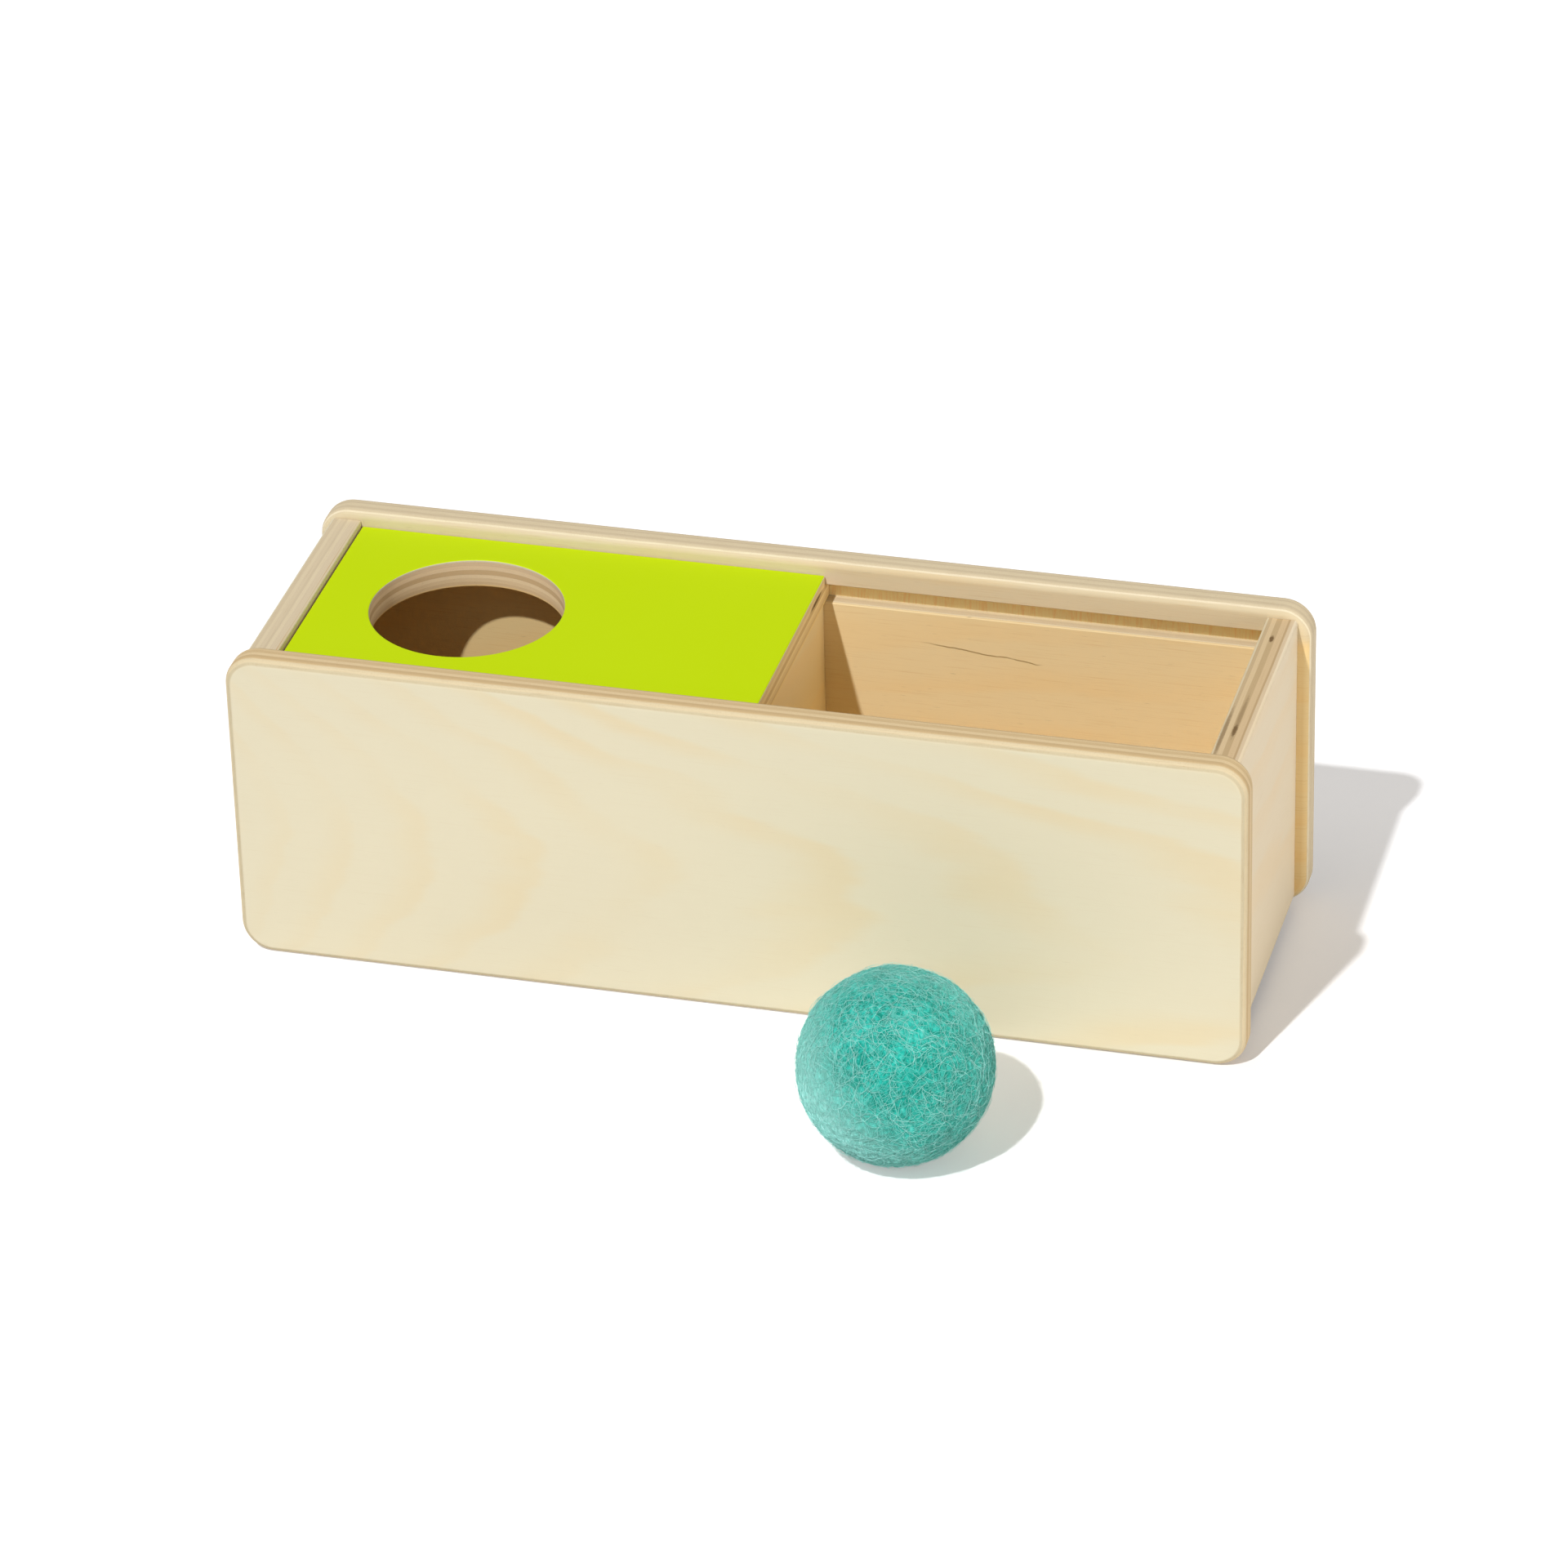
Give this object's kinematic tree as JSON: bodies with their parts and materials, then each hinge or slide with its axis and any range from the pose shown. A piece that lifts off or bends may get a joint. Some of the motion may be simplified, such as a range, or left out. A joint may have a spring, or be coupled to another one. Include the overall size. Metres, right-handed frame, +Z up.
{
  "type": "sliding lid box",
  "caption": "Plywood toy box with side by side compartments, a painted lid with a round hole that slides over either one, and a felt ball that drops through the hole.",
  "frame": {"origin": "on the ground, under the middle of the footprint of the box and the ball together", "axes": "+X along the box to the right as seen from its front, +Y from front to back, +Z up"},
  "size_m": [0.3, 0.189, 0.099],
  "materials": {
    "birch_ply": "clear satin lacquer on birch plywood",
    "lime_lid": "satin lime paint on top, bare birch plywood edges",
    "wool_felt": "teal needle felted wool",
    "beech_dowel": "bare beech"
  },
  "bodies": {
    "box": {"front_panel": "birch_ply", "back_panel": "birch_ply", "left_end_panel": "birch_ply", "right_end_panel": "birch_ply", "divider": "birch_ply", "floor_panel": "birch_ply", "dowel_left_front_low": "beech_dowel", "dowel_left_back_low": "beech_dowel", "dowel_left_front_high": "beech_dowel", "dowel_left_back_high": "beech_dowel", "dowel_middle_front_low": "beech_dowel", "dowel_middle_back_low": "beech_dowel", "dowel_middle_front_high": "beech_dowel", "dowel_middle_back_high": "beech_dowel", "dowel_right_front_low": "beech_dowel", "dowel_right_back_low": "beech_dowel", "dowel_right_front_high": "beech_dowel", "dowel_right_back_high": "beech_dowel"},
    "lid": {"lid": "lime_lid"},
    "ball": {"felt_ball": "wool_felt"}
  },
  "joints": [
    {"name": "lid_slide", "type": "slide", "parent": "box", "child": "lid", "axis": [1, 0, 0], "range_m": [0, 0.131]},
    {"name": "ball_lift", "type": "slide", "parent": "box", "child": "ball", "axis": [0, 0, 1], "range_m": [0, 0.12]}
  ]
}
